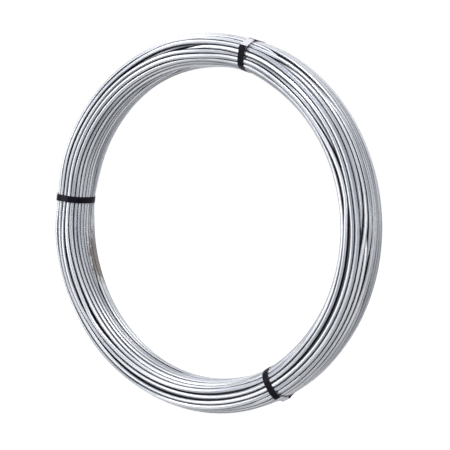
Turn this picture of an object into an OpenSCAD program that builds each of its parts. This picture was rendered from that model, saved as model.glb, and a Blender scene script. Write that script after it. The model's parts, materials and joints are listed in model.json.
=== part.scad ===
// Coil of galvanized wire rod: one long wire wound into a ring, held by three
// steel straps, each closed by a crimped seal. The coil stands on its rim, with
// its axis along +Y and the origin in the middle of its eye. Millimetres.

/* [Wire] */
// Diameter of the galvanized wire
wire_d = 8; // [7:0.5:10]
// Mean gap between neighbouring turns of one column
turn_gap = 0.75; // [0.3:0.05:1.5]
// Gap by which neighbouring columns stand off from lying snug in each other
column_gap = 0.35; // [0:0.05:0.8]

/* [Coil] */
// Diameter of the open eye in the middle of the coil
eye_d = 572; // [400:2:900]
// Columns of turns, side by side across the coil's width
columns = 11; // [9:2:15]
// Turns in each of the two end columns
end_turns = 4; // [3:1:4]
// Turns in the tallest columns
deep_turns = 7; // [7:1:8]

/* [Straps] */
// Width of the steel strap
strap_w = 12.7; // [9:0.1:19]
// Thickness of the steel strap
strap_t = 0.6; // [0.4:0.1:1.2]
// Gap between a strap and the turns that it holds
strap_clearance = 0.3; // [0.2:0.1:0.6]
// Length of the strap's free tail, past its seal
tail_l = 14; // [8:1:20]
// Place of the first strap round the coil
strap_1_angle = 71; // [40:1:100]
// Place of the second strap round the coil
strap_2_angle = 172; // [150:1:210]
// Place of the third strap round the coil
strap_3_angle = 301; // [270:1:330]

/* [Seals] */
// Length of a seal along its strap
seal_l = 22; // [14:1:24]
// Thickness of a seal's sheet
seal_t = 0.8; // [0.5:0.1:1.2]
// Width of each lip that a seal folds under its strap
seal_lip = 3.5; // [2:0.5:4]
// Gap between a seal and the strap inside it
seal_clearance = 0.1; // [0.05:0.05:0.2]
// Width of each of the four crimp notches in a seal's sides
notch_w = 3; // [2:0.5:4]
// Depth of a crimp notch
notch_depth = 1.6; // [1:0.1:2.4]

/* [Hidden] */

// The section is drawn with x along the coil's axis and y away from it. Its
// turns lie in columns, which are counted from the middle one and lie half a
// turn up or down from each other.
wire_r = wire_d / 2;
pitch = wire_d + turn_gap;
column_step = pitch * sqrt(3) / 2 + column_gap;
last = (columns - 1) / 2;
eye_flat = 0.15;
core_reach = wire_r * 0.4;
arc_steps = 6;

function turns(column) =
    let (room = end_turns + last - abs(column))
    room <= deep_turns ? room : deep_turns - (room - deep_turns) % 2;
function column_x(column) = column * column_step;
function crown_y(column) = (turns(column) - 1) / 2 * pitch;

// Outermost columns that are still as tall as the middle of the section
knee = last - (deep_turns - end_turns);
knee_x = column_x(knee);
knee_y = crown_y(knee);
end_x = column_x(last);
end_y = crown_y(last);
eye_wall_y = -knee_y - wire_r + eye_flat;
coil_r = eye_d / 2 - eye_wall_y;

// A strap goes round the eight corner turns at hold_r. Round the two turns at
// the seal it keeps off by the seal's lips too.
hold_r = wire_r + strap_clearance;
seal_hold_r = hold_r + seal_t + seal_clearance;
corners = [
    [end_x, end_y, hold_r], [knee_x, knee_y, hold_r],
    [-knee_x, knee_y, seal_hold_r], [-end_x, end_y, seal_hold_r],
    [-end_x, -end_y, hold_r], [-knee_x, -knee_y, hold_r],
    [knee_x, -knee_y, hold_r], [end_x, -end_y, hold_r],
];

// Direction, away from the coil, of the straight run from one corner to the next
function xy(corner) = [corner.x, corner.y];
function run_angle(i) =
    let (a = corners[i % 8], b = corners[(i + 1) % 8], way = xy(b) - xy(a))
    atan2(way.y, way.x) - acos((a.z - b.z) / norm(way));
function out(angle) = [cos(angle), sin(angle)];

// Points round one corner, at a height over the strap's inner face
function bend(i, height) =
    let (from = run_angle(i + 7), swing = (run_angle(i) - from + 720) % 360)
    [for (k = [0 : arc_steps]) xy(corners[i]) + (corners[i].z + height) * out(from + swing * k / arc_steps)];
function loop(height) = [for (i = [0 : 7]) each bend(i, height)];

// The seal sits at the middle of the run from corner 2 to corner 3, and the
// strap's tail goes on from it, round corner 2.
seal_angle = run_angle(2);
seal_way = out(seal_angle + 90);
bevel_start = xy(corners[2]) + seal_hold_r * out(seal_angle);
bevel_end = xy(corners[3]) + seal_hold_r * out(seal_angle);
seal_at = (bevel_start + bevel_end) / 2;
function tail(height) =
    let (round_corner = bend(2, height), way = out(run_angle(1) - 90))
    concat([round_corner[0] + way * tail_l], round_corner,
        [seal_at + seal_way * (seal_l / 2 + strap_clearance) + height * out(seal_angle)]);
function reversed(points) = [for (i = [len(points) - 1 : -1 : 0]) points[i]];

// Draws its children's section plane where a strap crosses the coil
module across_coil(angle) {
    rotate([0, -angle, 0]) translate([coil_r, 0, 0])
        multmatrix([[0, 1, 0, 0], [1, 0, 0, 0], [0, 0, -1, 0], [0, 0, 0, 1]])
            children();
}

// A plain core with one round ridge for each turn on the outside. The innermost
// turns have a narrow flat, which is the eye's true wall.
module wound_section() {
    difference() {
        union() {
            polygon([
                for (c = [last : -1 : -last]) [column_x(c), crown_y(c) + core_reach],
                [-end_x - core_reach, end_y],
                [-end_x - core_reach, -end_y],
                for (c = [-last : last]) [column_x(c), -crown_y(c) - core_reach],
                [end_x + core_reach, -end_y],
                [end_x + core_reach, end_y],
            ]);
            for (c = [-last : last])
                for (t = [0 : turns(c) - 1])
                    if (t == 0 || t == turns(c) - 1 || abs(c) == last)
                        translate([column_x(c), t * pitch - crown_y(c)])
                            circle(r = wire_r, $fn = 48);
        }
        translate([-end_x, eye_wall_y - wire_d])
            square([2 * end_x, wire_d]);
    }
}

module wire_coil() {
    color("silver")
        rotate([90, 0, 0])
            rotate_extrude($fn = 180)
                translate([coil_r, 0]) rotate(-90) wound_section();
}

module strap(angle) {
    color("darkslategray")
        across_coil(angle) {
            linear_extrude(height = strap_w, center = true)
                difference() {
                    polygon(loop(strap_t));
                    polygon(loop(0));
                }
            linear_extrude(height = strap_w, center = true)
                polygon(concat(tail(2 * strap_t), reversed(tail(strap_t / 2))));
        }
}

module seal(angle) {
    inside_w = strap_w + 2 * seal_clearance;
    inside_h = 2 * strap_t + 2 * seal_clearance;
    outside_w = inside_w + 2 * seal_t;
    outside_h = inside_h + 2 * seal_t;
    color("lightslategray")
        across_coil(angle)
            translate([seal_at.x, seal_at.y, 0]) rotate([0, 0, seal_angle])
                translate([-seal_clearance, 0, 0])
                    difference() {
                        translate([-seal_t, -seal_l / 2, -outside_w / 2])
                            cube([outside_h, seal_l, outside_w]);
                        translate([0, -seal_l, -inside_w / 2])
                            cube([inside_h, 2 * seal_l, inside_w]);
                        translate([-2 * seal_t, -seal_l, -strap_w / 2 + seal_lip])
                            cube([3 * seal_t, 2 * seal_l, strap_w - 2 * seal_lip]);
                        for (side = [-1, 1])
                            for (place = [-1, 1])
                                translate([outside_h / 2, place * seal_l / 4, side * outside_w / 2])
                                    cube([3 * outside_h, notch_w, 2 * notch_depth], center = true);
                    }
}

module strap_1() { strap(strap_1_angle); }
module strap_2() { strap(strap_2_angle); }
module strap_3() { strap(strap_3_angle); }
module seal_1() { seal(strap_1_angle); }
module seal_2() { seal(strap_2_angle); }
module seal_3() { seal(strap_3_angle); }

wire_coil();
strap_1();
strap_2();
strap_3();
seal_1();
seal_2();
seal_3();
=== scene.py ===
# A coil of galvanized wire rod, standing on its rim: one long wire wound into a
# ring, held by three flat steel straps, each closed by a crimped seal.
import itertools
import json
import math

import bmesh
import bpy
import numpy as np
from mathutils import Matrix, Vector


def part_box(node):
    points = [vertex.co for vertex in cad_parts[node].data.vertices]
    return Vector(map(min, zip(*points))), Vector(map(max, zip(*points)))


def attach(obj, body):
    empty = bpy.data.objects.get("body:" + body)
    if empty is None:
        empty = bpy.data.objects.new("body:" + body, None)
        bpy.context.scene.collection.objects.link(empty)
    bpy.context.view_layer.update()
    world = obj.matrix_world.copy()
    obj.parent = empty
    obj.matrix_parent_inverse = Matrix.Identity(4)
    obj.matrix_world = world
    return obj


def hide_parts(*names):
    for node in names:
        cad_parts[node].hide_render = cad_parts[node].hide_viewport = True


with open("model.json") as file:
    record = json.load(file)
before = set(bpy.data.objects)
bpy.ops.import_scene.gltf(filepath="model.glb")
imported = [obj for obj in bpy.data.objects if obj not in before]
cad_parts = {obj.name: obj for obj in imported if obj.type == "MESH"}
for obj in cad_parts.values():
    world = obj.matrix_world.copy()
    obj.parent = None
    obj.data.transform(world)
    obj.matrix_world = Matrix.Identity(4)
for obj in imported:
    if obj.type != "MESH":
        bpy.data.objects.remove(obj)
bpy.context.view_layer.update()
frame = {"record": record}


# ---- The ring that the turns fill -------------------------------------------
# The coil's own size comes from its solid. A place on it is an angle round the
# ring, from +X towards +Z, and a point on the section there, as how far along the
# axis and how far out it lies. Three straps pinch the section together.
low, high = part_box("wire_coil")
eye_r = frame["record"]["mounts"][0]["dims"]["r_mm"] / 1000
rim_r = (high.z - low.z) / 2
ring_r = (rim_r + eye_r) / 2
ring_half = np.array([(high.y - low.y) / 2, (rim_r - eye_r) / 2])
strap_angles = (71, 172, 301)  # degrees round the ring
strap_half = np.array([(0.0395, 0.0284), (0.0385, 0.0302), (0.0395, 0.0298)])  # of the section
strap_shift = np.array([(0.0040, 0.0004), (0.0007, -0.0025), (-0.0050, 0.0016)])  # of its middle
strap_reach = 12  # degrees to either side over which a strap is felt


def felt(angle):
    """How strongly each strap pinches the ring at an angle, from 0 to 1."""
    away = (np.subtract.outer(angle, strap_angles) + 180) % 360 - 180
    return np.exp(-((away / strap_reach) ** 2))


def on_ring(angle, section):
    """The points, in space, of the section at an angle."""
    along, out = np.moveaxis(section + felt(angle) @ strap_shift + (0, ring_r), -1, 0)
    turned = np.radians(angle)
    return np.stack([out * np.cos(turned), along, out * np.sin(turned)], -1)


# ---- The wire ----------------------------------------------------------------
# One length of thick galvanized wire, wound turn by turn without a spool, in layers
# round the section. Neighbours change places here and there, and the wire's own
# thickness and stiffness and the straps' pinch settle where each turn runs.
wire_d = 0.008
wire_r = wire_d / 2
turns_in_layers = (26, 19, 13, 4, 1)
layer_step = 0.0069

# The section's outline is a box, rounded by a power, with its corners cut. A strap
# makes it rounder.
roundness = 5.0
pinched_roundness = 2.5
corner_cut = np.array([0.60, 0.72])
pinched_cut_eases = 0.06

# Each turn is settled at stations, which are evenly spaced round the ring. The
# wire starts just before the lowest strap and ends just past it.
stations = 120
first_station = 295  # degrees round the ring
overlap_stations = 4
starts_towards = (1.0, 0.9)  # the way on the section to where the wire starts
end_sets_off = (0.0015, 0.006)  # the end's place on the section, from the start's

# How unevenly the turns were wound. Lengths along the wire are in stations.
place_changes = 14
joining_changes = 6  # the last of them, which join separate loops into one wire
change_half_length = (8, 13)  # from and to
wander = 0.0030  # how far a turn strays to either side
wander_length = 22
sink = 0.0016  # how much deeper than its neighbours a turn may lie
sink_length = 60
strap_straightens = 0.6  # the share of the wander that a strap takes away

rng = np.random.default_rng(2)


def how_far(section, half, pinch=np.zeros(1)):
    """How far out points lie: 1 on the outline, which is rounder where it is pinched."""
    shares = np.abs(section / half)
    power = roundness + (pinched_roundness - roundness) * pinch
    rounded = (shares ** power[:, None]).sum(1) ** (1 / power)
    return np.maximum(rounded, shares @ corner_cut * (1 - pinched_cut_eases * pinch))


def layer_places(half, count):
    """A layer's places, evenly spaced along its outline."""
    turned = np.linspace(0, 2 * math.pi, 721)
    way = np.stack([np.cos(turned), np.sin(turned)], -1)
    line = way / how_far(way, half)[:, None]
    walked = np.r_[0, np.linalg.norm(np.diff(line, axis=0), axis=1).cumsum()]
    stops = (np.arange(count) + 0.5) / count * walked[-1]
    return np.stack([np.interp(stops, walked, side) for side in line.T], -1)


places = np.concatenate([
    layer_places(np.maximum(ring_half - wire_r - i * layer_step, 1e-4), count)
    for i, count in enumerate(turns_in_layers)
])
layer_starts = np.cumsum((0, *turns_in_layers))
onward = np.concatenate([
    start + (np.arange(count) + 1) % count for start, count in zip(layer_starts, turns_in_layers)
])
gap_between = np.linalg.norm(places[:, None] - places, axis=-1)
is_beside = (gap_between > 0) & (gap_between < 1.25 * wire_d)
strap_stations = [(a - first_station) % 360 * stations / 360 for a in strap_angles]


def arrivals(changes):
    """The place that each place's turn has reached after one turn round the ring."""
    track = np.arange(len(places))
    for _, _, a, b, _ in sorted(changes):
        swap = {a: b, b: a}
        track = np.array([swap.get(t, t) for t in track])
    return onward[track]


def count_loops(arrival):
    """How many closed loops the turns would make, which is 1 for a single wire."""
    loops, seen = 0, set()
    for place in range(len(arrival)):
        loops += place not in seen
        while place not in seen:
            seen.add(place)
            place = arrival[place]
    return loops


def choose_changes():
    """Neighbours that change places: (middle station, half length, place, place, sense).

    Changes keep off the straps and off each other, and after many tries they may
    also meet side by side.
    """
    many_tries, most_tries = 4000, 20000
    changes, loops, tries = [], count_loops(arrivals([])), 0
    while loops > 1 or len(changes) < place_changes:
        tries += 1
        if tries > most_tries:
            raise SystemExit("these turns can't be joined into one wire: choose another seed")
        a = int(rng.integers(len(places)))
        if not is_beside[a].any():
            continue
        b = int(rng.choice(np.flatnonzero(is_beside[a])))
        half = rng.uniform(*change_half_length)
        middle = rng.uniform(overlap_stations + half + 1, stations - half - 1)
        if any(abs(middle - s) < 0.7 * half + 1 for s in strap_stations):
            continue
        clear_of = 1.2 * wire_d if tries < many_tries else wire_d / 8
        if any(
            abs(middle - m) < half + h and gap_between[np.ix_((a, b), (e, f))].min() < clear_of
            for m, h, e, f, _ in changes
        ):
            continue
        more = changes + [(middle, half, a, b, int(rng.choice((-1, 1))))]
        more_loops = count_loops(arrivals(more))
        if len(changes) >= place_changes - joining_changes and more_loops >= loops:
            continue
        changes, loops = more, more_loops
    return changes


def first_run():
    """The whole wire's path on the section, station by station, before it settles."""
    part = np.linspace(0, 1, stations + 1)[:, None]
    track = places[:, None] * (1 - part) + places[onward][:, None] * part
    run, at = track.copy(), np.arange(len(places))
    for middle, half, a, b, sense in sorted(choose_changes()):
        one, other = np.flatnonzero(at == a)[0], np.flatnonzero(at == b)[0]
        done = np.clip((np.arange(stations + 1) - middle + half) / (2 * half), 0, 1)
        turned = sense * math.pi * done * done * (3 - 2 * done)
        centre, arm = (track[a] + track[b]) / 2, (track[a] - track[b]) / 2
        swung = arm * np.cos(turned)[:, None] + arm[:, ::-1] * (-1, 1) * np.sin(turned)[:, None]
        after = np.arange(stations + 1) >= middle - half
        run[one][after], run[other][after] = (centre + swung)[after], (centre - swung)[after]
        at[one], at[other] = b, a
    arrival = onward[at]
    order = [int(np.argmax(places @ starts_towards))]
    while arrival[order[-1]] != order[0]:
        order.append(int(arrival[order[-1]]))
    lap = run[order[0], : overlap_stations + 1] + end_sets_off
    return np.concatenate([run[i, :stations] for i in order] + [lap])


def drift(values, length):
    """What each point of the wire has of values that come one every length stations."""
    return np.interp(np.arange(len(path)) / length, np.arange(len(values)), values)


path = first_run()
station_angle = first_station + np.arange(len(path)) % stations * 360 / stations
pinches = felt(station_angle)
pinch = pinches.sum(1)
sunk = drift(rng.uniform(0, sink, len(path) // sink_length + 2), sink_length)
room = ring_half + pinches @ (strap_half - ring_half) - wire_r - (sunk * (1 - pinch))[:, None]
knots = rng.normal(size=(len(path) // wander_length + 2, 2))
strays = np.stack([drift(k, wander_length) for k in knots.T], -1) * wander
path = (path + strays * (1 - strap_straightens * pinch[:, None])) * room / (ring_half - wire_r)


def unbend(path, share):
    """A stiff wire pulls each station towards the middle of its neighbours."""
    straight = path.copy()
    straight[1:-1] += share * ((path[2:] + path[:-2]) / 2 - path[1:-1])
    return straight


def push_apart(path, apart):
    """Turns closer than a distance push each other away, at every station at once.

    The points go into a grid with a row for each turn. What the last row has too
    many is put far off.
    """
    far_off, share = 10, 0.3
    rows = -(-len(path) // stations)
    grid = np.full((rows * stations, 2), far_off, np.float32)
    grid[: len(path)] = path
    grid[len(path):, 0] += np.arange(rows * stations - len(path))
    grid = grid.reshape(rows, stations, 2)
    between = grid[:, None] - grid
    distance = np.sqrt((between**2).sum(-1)) + 1e-9
    push = np.clip(apart - distance, 0, None) / distance
    push[np.arange(rows), np.arange(rows)] = 0
    return path + share * (between * push[..., None]).sum(1).reshape(-1, 2)[: len(path)]


def hold_in(path):
    """No turn leaves the ring's rounded section."""
    return path / np.maximum(how_far(path, room, pinch), 1)[:, None]


# The turns first swell to their thickness, near where they were wound. Then they
# pack outwards under the straps, while the wire's stiffness gives way.
swell_rounds, thinnest, swells_by = 170, 0.75, 0.26  # shares of the wire's thickness
wound_pull = 0.03
pack_rounds, stiffest, softens_by, spreads = 190, 0.6, 0.5, 1.002
round_once = first_station + np.arange(stations) * 360 / stations
packed = wire_d * (1.015 - 0.035 * felt(round_once).sum(1))  # a little closer under a strap
wound = path.copy()
for i in range(swell_rounds):
    path = unbend(path, 0.5) * (1 - wound_pull) + wound * wound_pull
    path = hold_in(push_apart(path, wire_d * (thinnest + swells_by * i / swell_rounds)))
for _ in range(4):
    path = unbend(path, 0.5)
for i in range(pack_rounds):
    path = unbend(path, stiffest - softens_by * i / pack_rounds) * spreads
    path = hold_in(push_apart(path, packed))


def runs_through(path):
    """Pairs of places, some turns apart, after which the wire runs through itself."""
    pairs = []
    for station in range(stations):
        here = np.arange(station, len(path) - 1, stations)
        apart = path[here][:, None] - path[here]
        apart_next = path[here + 1][:, None] - path[here + 1]
        moved = apart_next - apart
        part = -(apart * moved).sum(-1) / np.maximum((moved**2).sum(-1), 1e-12)
        nearest = np.linalg.norm(apart + np.clip(part, 0, 1)[..., None] * moved, axis=-1)
        crossed = (nearest < wire_r) & ((apart * apart_next).sum(-1) < 0)
        pairs += [(here[a], here[b]) for a, b in np.argwhere(crossed) if a < b]
    return pairs


def join_otherwise(pairs):
    """The order of the wire's points once each pair of places has traded what follows."""
    following = np.arange(1, len(path) + 1)
    for one, other in pairs:
        following[[one, other]] = following[[other, one]]
    order = [0]
    while following[order[-1]] < len(path):
        order.append(following[order[-1]])
    return order


# Where two turns would run through each other they stay on their own sides. This
# is done at as many places as leave all the turns one wire.
through = runs_through(path)
choices = (some for n in range(len(through), -1, -1) for some in itertools.combinations(through, n))
path = path[next(order for order in map(join_otherwise, choices) if len(order) == len(path))]
path = unbend(unbend(path, 0.4), 0.4)

# The wire is drawn as a curve with a round section and becomes a mesh with a ring
# of vertices at each of the path's points. Its cut ends are flat.
wire_sides = 12
centres = on_ring(station_angle, path)
line = bpy.data.curves.new("wire_line", "CURVE")
line.dimensions = "3D"
line.bevel_depth = wire_r
line.bevel_resolution = wire_sides // 2 - 2
spline = line.splines.new("POLY")
spline.points.add(len(centres) - 1)
spline.points.foreach_set("co", np.c_[centres, np.ones(len(centres))].ravel())
drawn = bpy.data.objects.new("wire_line", line)
b = bmesh.new()
b.from_mesh(bpy.data.meshes.new_from_object(drawn))
bpy.data.objects.remove(drawn)
bmesh.ops.holes_fill(b, edges=[e for e in b.edges if e.is_boundary], sides=wire_sides)
bmesh.ops.recalc_face_normals(b, faces=b.faces)
for face in b.faces:
    face.smooth = len(face.verts) == 4
wire_mesh = bpy.data.meshes.new("wire")
b.to_mesh(wire_mesh)
b.free()

# Each vertex keeps its place on the wire pulled straight, for marks that follow
# the wire, and how far it is open to the air, for the shade painted between the turns.
point_of = np.arange(len(wire_mesh.vertices)) // wire_sides
side_of = np.arange(len(wire_mesh.vertices)) % wire_sides
walked = np.r_[0, np.linalg.norm(np.diff(centres, axis=0), axis=1).cumsum()]
turned = 2 * math.pi * side_of / wire_sides
straight = np.stack([wire_r * np.cos(turned), wire_r * np.sin(turned), walked[point_of]], -1)
kept = wire_mesh.attributes.new("straight", "FLOAT_VECTOR", "POINT")
kept.data.foreach_set("vector", straight.ravel())

spots = np.empty(len(wire_mesh.vertices) * 3)
wire_mesh.vertices.foreach_get("co", spots)
spots = spots.reshape(-1, wire_sides, 3)
spots = np.stack([spots[..., 1], np.hypot(spots[..., 0], spots[..., 2]) - ring_r], -1)
spots -= (pinches @ strap_shift)[:, None]
looks = np.radians(np.arange(-75, 76, 25))  # to either side of straight out
blocking_r = 0.96 * wire_r  # a little less than the wire's own, for turns that touch
open_air = np.zeros(spots.shape[:2])
for station in range(stations):
    here = slice(station, None, stations)
    middles, at = path[here].astype(np.float32), spots[here].astype(np.float32)
    out = (at - middles[:, None]) / wire_r
    for look in looks:
        ray = out * math.cos(look) + out[..., ::-1] * (-1, 1) * math.sin(look)
        to = middles - at[:, :, None]
        ahead = (to * ray[:, :, None]).sum(-1)
        hit = (ahead > 0) & ((to**2).sum(-1) - ahead**2 < blocking_r**2)
        open_air[here] += ~hit.any(-1) * math.cos(look)
open_air /= np.cos(looks).sum()
kept = wire_mesh.attributes.new("open_air", "FLOAT", "POINT")
kept.data.foreach_set("value", open_air.ravel())

# Its map is unrolled with one row a turn, so that a row is as long as the ring.
# Rows keep a narrow margin, and the two cut ends lie beside the short last row.
row_margin = 0.04
end_scales = (2, 100)
ends_apart = 0.1
while wire_mesh.uv_layers:
    wire_mesh.uv_layers.remove(wire_mesh.uv_layers[0])
corner = np.empty(len(wire_mesh.loops), int)
wire_mesh.loops.foreach_get("vertex_index", corner)
sizes = np.empty(len(wire_mesh.polygons), int)
wire_mesh.polygons.foreach_get("loop_total", sizes)
face_of = np.repeat(np.arange(len(sizes)), sizes)
starts = np.r_[0, sizes.cumsum()[:-1]]
first_point = np.minimum.reduceat(point_of[corner], starts)[face_of]
low_side = np.minimum.reduceat(side_of[corner], starts)[face_of]
high_side = np.maximum.reduceat(side_of[corner], starts)[face_of]
closes_round = (high_side - low_side > 1) & (side_of[corner] == 0)
side = np.where(closes_round, wire_sides, side_of[corner])
u = (first_point % stations + point_of[corner] - first_point) / stations
across = row_margin + (1 - 2 * row_margin) * side / wire_sides
v = (first_point // stations + across) / (len(places) + 1)
is_end = sizes[face_of] > 4
u[is_end] = 0.5 + straight[corner[is_end], 0] * end_scales[0]
u[is_end] += (first_point[is_end] > 0) * ends_apart
v[is_end] = 1 - (0.5 + straight[corner[is_end], 1] * end_scales[1]) / (len(places) + 1)
wire_mesh.uv_layers.new(name="OFBake").uv.foreach_set("vector", np.stack([u, v], -1).ravel())

wire = bpy.data.objects.new("wire", wire_mesh)
bpy.context.collection.objects.link(wire)
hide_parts("wire_coil")
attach(wire, "root")


class Tone:
    """A socket of a finish's nodes. A sum on it adds a Math node."""

    def __init__(self, tree, socket=None):
        self.tree, self.socket = tree, socket

    def node(self, kind, settings, values, output=0):
        """Adds a node: its settings first, then a value or a link for each socket."""
        made = self.tree.nodes.new("ShaderNode" + kind)
        for name, value in settings.items():
            setattr(made, name, value)
        for name, value in values.items():
            if isinstance(value, Tone):
                self.tree.links.new(value.socket, made.inputs[name])
            else:
                made.inputs[name].default_value = value
        return Tone(self.tree, made.outputs[output] if made.outputs else None)

    def sum(self, operation, *values):
        return self.node("Math", {"operation": operation}, dict(enumerate(values)))

    def __add__(self, other):
        return self.sum("ADD", self, other)

    def __rsub__(self, other):
        return self.sum("SUBTRACT", other, self)

    def __mul__(self, other):
        return self.sum("MULTIPLY", self, other)

    __radd__, __rmul__ = __add__, __mul__

    def step(self, start, end):
        """0 up to start and 1 from end on, with a soft rise between."""
        limits = {"Value": self, "From Min": start, "From Max": end}
        return self.node("MapRange", {"interpolation_type": "SMOOTHSTEP"}, limits)

    def mix(self, none, full):
        """One colour where this is 0 and another where it is 1."""
        return self.node("Mix", {"data_type": "RGBA"}, {0: self, 6: none, 7: full}, 2)

    def noise(self, where, stretch, detail=2.0):
        """Cloudy noise, about 0 to 1, with stretch waves a metre along each axis."""
        scaled = self.node("VectorMath", {"operation": "MULTIPLY"}, {0: where, 1: stretch})
        spread = {"Vector": scaled, "Scale": 1.0, "Detail": detail, "Roughness": 0.55}
        return self.node("TexNoise", {}, spread).step(0.25, 0.75)


def new_finish(name):
    """An empty material and its first, unlinked tone."""
    material = bpy.data.materials.new(name)
    material.use_nodes = True
    material.node_tree.nodes.clear()
    return material, Tone(material.node_tree)


def finish_with(tone, values):
    """Ends a material in its shader and its output."""
    shader = tone.node("BsdfPrincipled", {}, values)
    tone.node("OutputMaterial", {}, {"Surface": shader})


# The zinc is pale and a little cloudy, with fine streaks along the wire where it
# was wiped, and shade is painted near-black into the gaps between the turns. Low on
# the eye's left side the hindmost turns are painted a dark brown.
# A dark brown patch painted low on the eye's left side, over the hindmost turns.
brown_patch_middle = (-eye_r * 0.965, high.y * 0.55, -eye_r * 0.27)
brown_patch_spread = (1 / 0.034, 1 / 0.028, 1 / 0.075)

zinc_coat, tone = new_finish("zinc_coat")
straight_place = tone.node("Attribute", {"attribute_name": "straight"}, {}, 1)
openness = tone.node("Attribute", {"attribute_name": "open_air"}, {}, 2)
tarnish = tone.noise(straight_place, (30, 30, 2.2))
streaks = tone.noise(straight_place, (430, 430, 4)).step(0.25, 0.75)
ripples = tone.noise(straight_place, (260, 260, 90), 3.0)
bright_zinc = streaks.mix((0.46, 0.48, 0.53, 1), (0.86, 0.88, 0.92, 1))
dull_zinc = streaks.mix((0.18, 0.20, 0.24, 1), (0.52, 0.54, 0.59, 1))
place = tone.node("TexCoord", {}, {}, 3)
from_brown_patch = tone.node("VectorMath", {"operation": "SUBTRACT"}, {0: place, 1: brown_patch_middle})
from_brown_patch = tone.node("VectorMath", {"operation": "MULTIPLY"}, {0: from_brown_patch, 1: brown_patch_spread})
from_brown_patch = tone.node("VectorMath", {"operation": "LENGTH"}, {0: from_brown_patch}, 1)
in_brown_patch = 1 - (from_brown_patch + ripples * 0.5).step(0.85, 1.25)
zinc = tarnish.mix(bright_zinc, dull_zinc)
zinc = (in_brown_patch * 0.8).mix(zinc, (0.13, 0.095, 0.07, 1))
# Painted shade: the near-black that the zinc turns where a turn is closed in by its neighbours.
painted_gap_shade = (0.010, 0.012, 0.018, 1)
height = ripples + streaks * 0.4
# The base colour fades to the painted shade as a turn's open_air falls, darkening the gaps between
# turns.
finish_with(tone, {
    "Base Color": openness.step(0.46, 1.0).mix(painted_gap_shade, zinc),
    "Metallic": 0.3,
    "Specular IOR Level": 0.5,
    "Roughness": 0.27 + 0.06 * tarnish + 0.04 * streaks,
    "Normal": tone.node("Bump", {}, {"Strength": 0.10, "Distance": 0.0001, "Height": height}),
})
wire_mesh.materials.append(zinc_coat)


# ---- The straps --------------------------------------------------------------
# Three bands of blackened steel strapping, drawn tight round the turns. Each
# lies flat from one outer wire to the next, laps over its own start under the
# seal, and ends in a short free tail.
strap_half_width = 0.00635
strap_thickness = 0.0006
strap_lift = wire_r + 0.0001 + strap_thickness / 2  # from an outer wire's middle to the band's
band_edges = (-1.1, 0, 1.1)  # a band's edges and middle, in degrees round the ring
lap_rise = strap_thickness + 0.00012  # of the upper lap, over the lower one
lap_starts = 0.013  # how far before the seal the upper lap starts to rise
lap_climb = 0.007  # the length it rises over
under_lap = 0.006  # how far the lower lap goes on past the seal
tail_lengths = (0.010, 0.008, 0.018)
seal_half = 0.011
seal_thickness = 0.0008
seal_lift = seal_thickness + 0.00015  # how far a seal keeps its band off the turns
seal_turns = (35, 45, 19)  # degrees round the section, from the rim towards the front
crimp_from_middle = 0.0045
crimp_half = 0.0013
crimp_narrows = 0.17


def crimp(along):
    """How deep the seal's two pairs of crimps bite, from 0 to 1, along the band."""
    return np.exp(-(((np.abs(along) - crimp_from_middle) / crimp_half) ** 2))


def outline_round(points):
    """The corners of the tightest outline round some points, anticlockwise."""
    ordered = sorted(map(tuple, points))
    halves = []
    for run in (ordered, ordered[::-1]):
        half = []
        for p in run:
            while len(half) > 1 and (
                (half[-1][0] - half[-2][0]) * (p[1] - half[-2][1])
                <= (half[-1][1] - half[-2][1]) * (p[0] - half[-2][0])
            ):
                half.pop()
            half.append(p)
        halves += half[:-1]
    return np.array(halves)


def turns_under(angle):
    """Where the turns run on the section, over the width of a band at an angle."""
    found = []
    for slip in band_edges:
        place = (angle + slip - first_station) % 360 * stations / 360
        before = int(place) + stations * np.arange(-(-len(path) // stations))
        before = before[before + 1 < len(path)]
        part = place - int(place)
        found.append(path[before] * (1 - part) + path[before + 1] * part)
    return np.concatenate(found)


class Band:
    """A band's middle line round the section, measured from the seal's middle."""

    def __init__(self, angle, seal_turn):
        self.angle = float(angle)
        turned = math.radians(angle)
        self.along_ring = Vector((-math.sin(turned), 0, math.cos(turned)))
        way = np.array([-math.sin(seal_turn), math.cos(seal_turn)])
        under = turns_under(angle)
        raised = under[np.argmax(under @ way)] + way * seal_lift
        beside = np.array([-way[1], way[0]])
        ends = [raised + beside * (seal_half + 0.001) * s for s in (-1, 1)]
        corners = outline_round([*under, *ends])
        line, sides = [], []
        for here, before, after in zip(corners, np.roll(corners, 1, 0), np.roll(corners, -1, 0)):
            runs = ((before, here), (here, after))
            start, end = (math.atan2(-(q - p)[0], (q - p)[1]) for p, q in runs)
            bend = (end - start) % (2 * math.pi)
            for part in np.linspace(0, 1, 2 + int(bend / math.radians(4))):
                sides.append((math.cos(start + bend * part), math.sin(start + bend * part)))
                line.append(here + strap_lift * np.array(sides[-1]))
        line, sides = np.array(line), np.array(sides)
        first = np.argmin(np.linalg.norm(line - (ends[1] + strap_lift * way), axis=1))
        middle = raised + strap_lift * way
        self.line = np.vstack([middle, np.roll(line, -first, 0), middle])
        self.sides = np.vstack([way, np.roll(sides, -first, 0), way])
        self.walked = np.r_[0, np.linalg.norm(np.diff(self.line, axis=0), axis=1).cumsum()]
        self.length = self.walked[-1]

    def at(self, along):
        """The band's middle and its outward side, a length along from the seal's middle."""
        middle, out = (
            np.array([np.interp(along % self.length, self.walked, v) for v in values.T])
            for values in (self.line, self.sides)
        )
        return middle, out / np.linalg.norm(out)

    def in_space(self, section):
        return Vector(on_ring(np.array(self.angle), section))


bands = [Band(a, math.radians(t)) for a, t in zip(strap_angles, seal_turns)]

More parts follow.
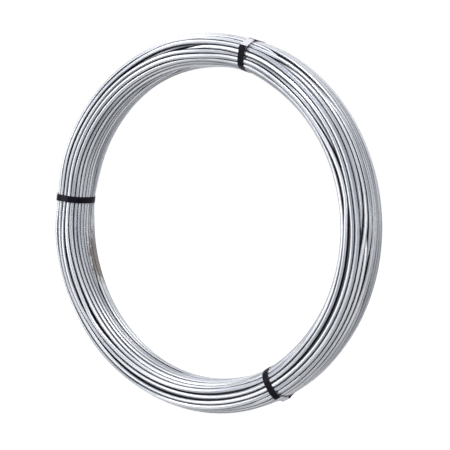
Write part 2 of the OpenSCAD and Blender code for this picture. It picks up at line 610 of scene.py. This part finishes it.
black_steel, tone = new_finish("black_steel")
where = tone.node("TexCoord", {}, {}, 3)
edge = tone.node("Attribute", {"attribute_name": "edge"}, {}, 2)
scuffs = tone.noise(where, (420, 420, 420), 4.0)
smears = tone.noise(where, (70, 70, 70), 3.0)
enamel = smears.mix((0.003, 0.003, 0.006, 1), (0.009, 0.008, 0.015, 1))
worn = edge.step(0.55, 0.95) * scuffs.step(0.45, 0.75)
finish_with(tone, {
    "Base Color": worn.mix(enamel, (0.10, 0.10, 0.11, 1)),
    "Metallic": 0.4 * worn,
    "Roughness": 0.30 + 0.15 * scuffs,
    "Specular IOR Level": 0.05,
    "Normal": tone.node("Bump", {}, {"Strength": 0.2, "Distance": 0.0001, "Height": scuffs}),
})

for number, (band, tail_length) in enumerate(zip(bands, tail_lengths), 1):
    b = bmesh.new()
    edge_layer = b.verts.layers.float.new("edge")
    shares = (-1, -0.8, 0.8, 1)
    row = [b.verts.new() for _ in shares]
    for vert, share in zip(row, shares):
        vert[edge_layer] = float(abs(share) == 1)
    edges = [b.edges.new(pair) for pair in zip(row, row[1:])]
    stops = np.arange(-seal_half - under_lap, band.length + seal_half + tail_length, 0.001)
    for i, along in enumerate(stops):
        if i:
            made = bmesh.ops.extrude_edge_only(b, edges=edges)["geom"]
            row = [g for g in made if isinstance(g, bmesh.types.BMVert)]
            edges = [g for g in made if isinstance(g, bmesh.types.BMEdge)]
        middle, out = band.at(along)
        lapped = np.clip((along - band.length + seal_half + lap_starts) / lap_climb, 0, 1)
        middle = middle + out * lap_rise * lapped * lapped * (3 - 2 * lapped)
        from_seal = along - band.length if along > band.length / 2 else along
        half_width = strap_half_width * (1 - crimp_narrows * crimp(from_seal))
        for vert, share in zip(row, shares):
            vert.co = band.in_space(middle) + band.along_ring * half_width * share
    mesh = bpy.data.meshes.new(f"strap_{number}")
    b.to_mesh(mesh)
    b.free()
    mesh.materials.append(black_steel)
    for face in mesh.polygons:
        face.use_smooth = True
    strap = bpy.data.objects.new(f"strap_band_{number}", mesh)
    bpy.context.collection.objects.link(strap)
    wall = strap.modifiers.new("thickness", "SOLIDIFY")
    wall.thickness, wall.offset, wall.use_even_offset = strap_thickness, 0, True
    rounded = strap.modifiers.new("edges", "BEVEL")
    rounded.width, rounded.segments, rounded.limit_method = 0.00015, 2, "ANGLE"
    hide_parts(f"strap_{number}")
    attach(strap, "root")


# ---- The seals ---------------------------------------------------------------
# A sleeve of zinc-plated sheet closes each strap. It is folded round both laps of
# the band, leaves a gap along its underside, and is crimped in at two places.
seal_play = 0.00008  # between the sleeve and the laps of the band, above and below
side_play = 0.00015
wall_half = seal_thickness / 2
sleeve_half = strap_half_width + side_play + wall_half
sleeve_bottom = -strap_thickness / 2 - seal_play - wall_half
sleeve_top = strap_thickness / 2 + lap_rise + seal_play + wall_half
underside_gap = 0.0034  # half the gap
fold_radius = 0.0009
crimp_sinks = 0.0005
seal_steps = 22

plated_sheet, tone = new_finish("plated_sheet")
where = tone.node("TexCoord", {}, {}, 3)
mottle = tone.noise(where, (350, 350, 350), 3.0)
finish_with(tone, {
    "Base Color": mottle.mix((0.46, 0.45, 0.51, 1), (0.68, 0.67, 0.73, 1)),
    "Metallic": 0.25,
    "Roughness": 0.30 + 0.12 * mottle,
    "Normal": tone.node("Bump", {}, {"Strength": 0.15, "Distance": 0.0001, "Height": mottle}),
})

for number, band in enumerate(bands, 1):
    b = bmesh.new()
    profile = (
        (underside_gap, sleeve_bottom), (sleeve_half, sleeve_bottom), (sleeve_half, sleeve_top),
        (-sleeve_half, sleeve_top), (-sleeve_half, sleeve_bottom), (-underside_gap, sleeve_bottom),
    )
    row = [b.verts.new((across, 0, up)) for across, up in profile]
    for pair in zip(row, row[1:]):
        b.edges.new(pair)
    bmesh.ops.bevel(
        b, geom=row[1:-1], offset=fold_radius, segments=4, profile=0.5, affect="VERTICES", material=-1
    )
    wide = [e for e in b.edges if e.calc_length() > 0.004]
    bmesh.ops.subdivide_edges(b, edges=wide, cuts=7)
    bmesh.ops.translate(b, vec=(0, -seal_half, 0), verts=b.verts)
    edges = list(b.edges)
    for _ in range(seal_steps):
        made = bmesh.ops.extrude_edge_only(b, edges=edges)["geom"]
        edges = [g for g in made if isinstance(g, bmesh.types.BMEdge)]
        moved = [g for g in made if isinstance(g, bmesh.types.BMVert)]
        bmesh.ops.translate(b, vec=(0, 2 * seal_half / seal_steps, 0), verts=moved)
    middle, out = band.at(0)
    origin = band.in_space(middle)
    outward = (band.in_space(middle + out) - origin).normalized()
    along_band = outward.cross(band.along_ring)
    for vert in b.verts:
        across, along, up = vert.co
        bite = float(crimp(along))
        up -= crimp_sinks * bite * (across / sleeve_half) ** 2 * (up > 0)
        across *= 1 - crimp_narrows * bite
        vert.co = origin + band.along_ring * across + along_band * along + outward * up
    bmesh.ops.recalc_face_normals(b, faces=b.faces)
    mesh = bpy.data.meshes.new(f"seal_{number}")
    b.to_mesh(mesh)
    b.free()
    mesh.materials.append(plated_sheet)
    for face in mesh.polygons:
        face.use_smooth = True
    seal = bpy.data.objects.new(f"seal_sleeve_{number}", mesh)
    bpy.context.collection.objects.link(seal)
    wall = seal.modifiers.new("thickness", "SOLIDIFY")
    wall.thickness, wall.offset = seal_thickness, 0
    rounded = seal.modifiers.new("edges", "BEVEL")
    rounded.width, rounded.segments, rounded.limit_method = 0.0002, 2, "ANGLE"
    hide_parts(f"seal_{number}")
    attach(seal, "root")


# ---- The studio --------------------------------------------------------------
# A white floor and a white surround, with four soft lamps. The coil stands on the
# floor on its rim.
floor_half = 12
b = bmesh.new()
bmesh.ops.create_grid(b, x_segments=1, y_segments=1, size=floor_half)
bmesh.ops.translate(b, vec=(0, 0, -rim_r), verts=b.verts)
floor_mesh = bpy.data.meshes.new("floor")
b.to_mesh(floor_mesh)
b.free()
floor = bpy.data.objects.new("floor", floor_mesh)
bpy.context.collection.objects.link(floor)


def seen_in_view(tone):
    """1 where the eye, a reflection or a clear body shows the background."""
    ways = ("Is Camera Ray", "Is Glossy Ray", "Is Transmission Ray")
    seen, mirrored, through = (tone.node("LightPath", {}, {}, way) for way in ways)
    return tone.sum("MAXIMUM", seen, tone.sum("MAXIMUM", mirrored, through))


white_floor, tone = new_finish("white_floor")
lit = tone.node("BsdfDiffuse", {}, {"Color": (0.4, 0.4, 0.4, 1)})
glow = tone.node("Emission", {}, {"Color": (1, 1, 1, 1), "Strength": seen_in_view(tone) * 0.92})
tone.node("OutputMaterial", {}, {"Surface": tone.node("AddShader", {}, {0: lit, 1: glow})})
floor_mesh.materials.append(white_floor)

world = bpy.data.worlds.new("studio")
bpy.context.scene.world = world
world.use_nodes = True
world.node_tree.nodes.clear()
tone = Tone(world.node_tree)
strength = 0.25 + 0.75 * seen_in_view(tone)
white = tone.node("Background", {}, {"Color": (1, 1, 1, 1), "Strength": strength})
tone.node("OutputWorld", {}, {"Surface": white})

for name, place, size, power in (
    ("upper_left_lamp", (-1.4, -1.1, 1.7), 0.4, 22),
    ("upper_right_lamp", (0.7, -1.1, 2.0), 0.5, 45),
    ("left_lamp", (-1.5, -2.1, 0.15), 0.4, 18),
    ("right_lamp", (2.3, -1.2, 0.1), 0.4, 9),
):
    lamp = bpy.data.lights.new(name, "AREA")
    lamp.size, lamp.energy = size, power
    softbox = bpy.data.objects.new(name, lamp)
    bpy.context.collection.objects.link(softbox)
    softbox.location = place
    softbox.rotation_mode = "QUATERNION"
    softbox.rotation_quaternion = (-Vector(place)).to_track_quat("-Z", "Y")

camera = bpy.data.objects.new("camera", bpy.data.cameras.new("camera"))
bpy.context.collection.objects.link(camera)
bpy.context.scene.camera = camera
swing, rise, away = math.radians(34.26), math.radians(2.94), 1.804
back = Vector((math.sin(swing) * math.cos(rise), -math.cos(swing) * math.cos(rise), math.sin(rise)))
right, up = Vector((math.cos(swing), math.sin(swing), 0)), Vector((0, 0, 1))
camera.location = back * away
camera.data.lens = 78.5
aim_at = right * 0.038 - up * 0.002
camera.rotation_mode = "QUATERNION"
camera.rotation_quaternion = (aim_at - camera.location).to_track_quat("-Z", "Y")
bpy.context.scene.view_settings.view_transform = "Standard"
